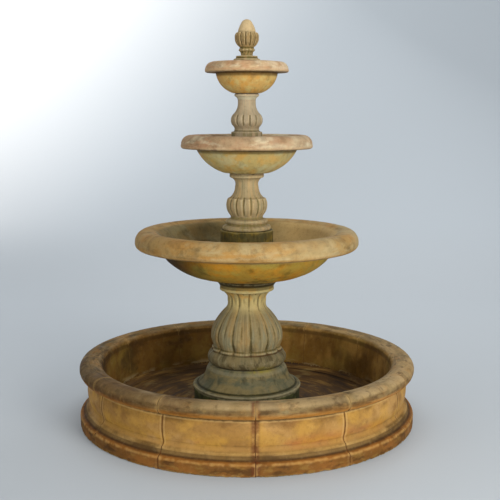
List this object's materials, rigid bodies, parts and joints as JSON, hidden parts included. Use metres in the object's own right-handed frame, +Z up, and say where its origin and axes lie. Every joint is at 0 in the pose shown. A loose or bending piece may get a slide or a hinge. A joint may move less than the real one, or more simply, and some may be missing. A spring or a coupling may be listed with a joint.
{
  "type": "garden fountain",
  "caption": "Three-tier cast-stone garden fountain: stacked round bowls on fluted pedestals, egg finial, segmented round pool, with pump, valve and pipe inside.",
  "frame": {"origin": "on the ground at the centre of the pool", "axes": "+Z up along the fountain's axis, front at -Y"},
  "size_m": [1.8176, 1.8176, 2.137],
  "materials": {
    "pool_stone": "weathered cast stone, ochre stain, matte",
    "mortar": "rough mortar",
    "floor_stone": "brushed cast slab, dark stain",
    "plinth_stone": "weathered cast stone, grey green",
    "lower_stone": "weathered cast stone, grey green",
    "large_bowl_stone": "weathered cast stone, ochre stain",
    "riser_stone": "mossy cast stone",
    "middle_stone": "weathered cast stone, taupe",
    "upper_stone": "weathered cast stone, taupe",
    "finial_stone": "weathered cast stone, pale",
    "pad_rubber": "matte black rubber",
    "pipe_plastic": "grey-white rigid plastic",
    "hose_vinyl": "clear-grey flexible vinyl",
    "clamp_steel": "stainless steel",
    "valve_brass": "dull brass",
    "ball_chrome": "polished",
    "seat_plastic": "white low-friction plastic",
    "pump_plastic": "black moulded plastic",
    "impeller_plastic": "blue moulded plastic",
    "core_steel": "laminated steel with copper coils",
    "magnet_ferrite": "sintered ferrite",
    "shaft_ceramic": "white ceramic",
    "drain_brass": "dull brass",
    "gland_plastic": "black nylon"
  },
  "bodies": {
    "fountain": {"pool_curb_01": "pool_stone", "pool_curb_02": "pool_stone", "pool_curb_03": "pool_stone", "pool_curb_04": "pool_stone", "pool_curb_05": "pool_stone", "pool_curb_06": "pool_stone", "pool_curb_07": "pool_stone", "pool_curb_08": "pool_stone", "pool_curb_09": "pool_stone", "pool_curb_10": "pool_stone", "pool_curb_11": "pool_stone", "pool_curb_12": "pool_stone", "curb_mortar": "mortar", "floor_cove": "mortar", "pool_floor": "floor_stone", "pump_plinth": "plinth_stone", "pedestal_base": "plinth_stone", "lower_pedestal": "lower_stone", "large_bowl": "large_bowl_stone", "bowl_riser": "riser_stone", "middle_pedestal": "middle_stone", "middle_bowl": "middle_stone", "upper_pedestal": "upper_stone", "small_bowl": "upper_stone", "finial_base": "finial_stone", "pedestal_pad": "pad_rubber", "large_bowl_pad": "pad_rubber", "middle_bowl_pad": "pad_rubber", "small_bowl_pad": "pad_rubber", "drain_gasket": "pad_rubber", "pipe_grommets": "pad_rubber", "shaft_bushings": "pad_rubber", "pump_feet": "pad_rubber", "riser_pipe_lower": "pipe_plastic", "riser_pipe_upper": "pipe_plastic", "pipe_coupling": "pipe_plastic", "supply_hose": "hose_vinyl", "hose_clamps": "clamp_steel", "valve_body": "valve_brass", "valve_seats": "seat_plastic", "pump_housing": "pump_plastic", "pump_cover": "pump_plastic", "intake_screen": "pump_plastic", "outlet_barb": "pump_plastic", "foot_frame": "pump_plastic", "stator_core": "core_steel", "rotor_shaft": "shaft_ceramic", "drain_fitting": "drain_brass", "cord_gland": "gland_plastic"},
    "finial": {"finial": "finial_stone"},
    "access_cover": {"access_cover": "plinth_stone"},
    "impeller": {"impeller": "impeller_plastic", "rotor_magnet": "magnet_ferrite"},
    "valve_lever": {"valve_ball": "ball_chrome", "valve_stem": "valve_brass", "valve_lever": "clamp_steel", "valve_nut": "clamp_steel"},
    "flow_dial": {"flow_dial": "pump_plastic"},
    "drain_plug": {"drain_plug": "pad_rubber"}
  },
  "joints": [
    {"name": "finial_lift", "type": "slide", "parent": "fountain", "child": "finial", "axis": [0, 0, 1], "range_m": [0, 0.1]},
    {"name": "access_cover_pull", "type": "slide", "parent": "fountain", "child": "access_cover", "axis": [0, 1, 0], "range_m": [0, 0.2]},
    {"name": "impeller_spin", "type": "hinge", "parent": "fountain", "child": "impeller", "pos_m": [0, 0, 0.122], "axis": [0, 1, 0], "continuous": true},
    {"name": "valve_turn", "type": "hinge", "parent": "fountain", "child": "valve_lever", "pos_m": [0, 0, 0.268], "axis": [0, 1, 0], "range_deg": [0, 90]},
    {"name": "flow_dial_turn", "type": "hinge", "parent": "fountain", "child": "flow_dial", "pos_m": [0, 0, 0.122], "axis": [0, 1, 0], "range_deg": [0, 90]},
    {"name": "drain_plug_pull", "type": "slide", "parent": "fountain", "child": "drain_plug", "axis": [0, 0, 1], "range_m": [0, 0.05]}
  ]
}
